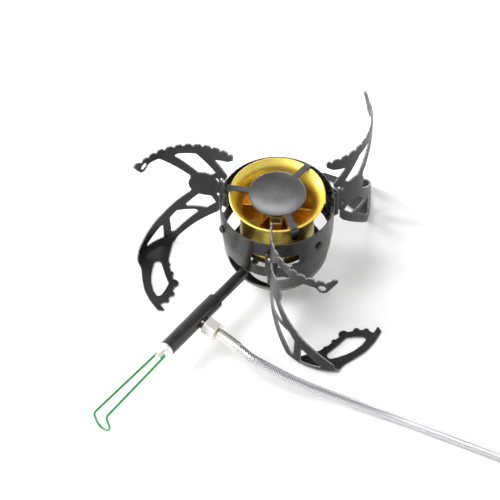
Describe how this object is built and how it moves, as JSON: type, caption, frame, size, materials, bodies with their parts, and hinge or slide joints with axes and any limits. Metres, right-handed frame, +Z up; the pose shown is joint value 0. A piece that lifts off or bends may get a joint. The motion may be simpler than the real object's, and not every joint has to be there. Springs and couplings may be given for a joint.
{
  "type": "canister stove",
  "caption": "Remote camping stove: brass burner in a black windshield cup on folding toothed legs, with a valve, wire key and coiled braided hose.",
  "frame": {"origin": "on the ground, straight under the burner's axis", "axes": "+Z up along the burner's axis; the fuel line runs out at 231.6 degrees from +X, seen from above"},
  "size_m": [0.3516, 0.2501, 0.0926],
  "materials": {
    "black_coat": "satin dark grey coating",
    "leg_coat": "matte dark grey coating",
    "bracket_black": "black coating",
    "rivet_black": "semi-gloss black",
    "brass_bell": "polished brass",
    "brass_dark": "satin brass",
    "brass_vane": "satin brass",
    "brass_bright": "bright brass",
    "spreader_steel": "satin steel",
    "pin_steel": "satin",
    "line_steel": "satin",
    "sleeve_black": "gloss black",
    "valve_black": "satin black",
    "seal_rubber": "matte",
    "bright_nickel": "nickel plated",
    "gland_metal": "bright turned",
    "collar_metal": "nickel plated brass",
    "ferrule_metal": "warm nickel",
    "key_green": "gloss green coating",
    "hose_braid": "stainless braid",
    "tie_rubber": "matte",
    "grip_plastic": "ribbed"
  },
  "bodies": {
    "stove": {"windshield_cup": "black_coat", "cup_rivets": "rivet_black", "burner_support": "bracket_black", "burner_bell": "brass_bell", "mixing_tube": "brass_dark", "vane_insert": "brass_vane", "heat_block": "brass_bright", "flame_spreader": "spreader_steel", "jet_block": "brass_dark", "jet_nozzle": "brass_bright", "hinge_bracket_a": "bracket_black", "hinge_bracket_b": "bracket_black", "hinge_bracket_c": "bracket_black", "bracket_rivets": "rivet_black", "hinge_pin_a": "pin_steel", "hinge_pin_b": "pin_steel", "hinge_pin_c": "pin_steel", "fuel_line": "line_steel", "line_sleeve": "sleeve_black", "valve_body": "valve_black", "hose_port": "valve_black", "spindle_seal": "seal_rubber", "gland_ring": "gland_metal", "hose_nut": "bright_nickel", "nut_collar": "collar_metal", "hose_ferrule": "ferrule_metal", "hose_run": "hose_braid", "hose_coil": "hose_braid", "hose_tail": "hose_braid", "coil_tie": "tie_rubber", "end_ferrule": "ferrule_metal", "connector_body": "bright_nickel", "connector_grip": "grip_plastic", "connector_seal": "seal_rubber", "depressor_pin": "brass_bright"},
    "leg_a_sheet": {"leg_a": "leg_coat"},
    "leg_b_sheet": {"leg_b": "leg_coat"},
    "leg_c_sheet": {"leg_c": "leg_coat"},
    "spindle": {"valve_spindle": "bright_nickel"},
    "key": {"control_key": "key_green"}
  },
  "joints": [
    {"name": "leg_a_fold", "type": "hinge", "parent": "stove", "child": "leg_a_sheet", "pos_m": [-0.03236, 0.02351, 0.05], "axis": [0, 0, 1], "range_deg": [0, 86.2]},
    {"name": "leg_b_fold", "type": "hinge", "parent": "stove", "child": "leg_b_sheet", "pos_m": [0.03654, 0.01627, 0.05], "axis": [0, 0, 1], "range_deg": [0, 89.2]},
    {"name": "leg_c_fold", "type": "hinge", "parent": "stove", "child": "leg_c_sheet", "pos_m": [-0.00418, -0.03978, 0.05], "axis": [0, 0, 1], "range_deg": [0, 86.2]},
    {"name": "valve_turn", "type": "hinge", "parent": "stove", "child": "spindle", "pos_m": [-0.07193, -0.09075, 0.032], "axis": [-0.6211, -0.7837, 0], "range_deg": [0, 720]},
    {"name": "key_fold", "type": "hinge", "parent": "spindle", "child": "key", "pos_m": [-0.07193, -0.09075, 0.032], "axis": [-0.7364, 0.5837, -0.342], "range_deg": [0, 90]}
  ]
}
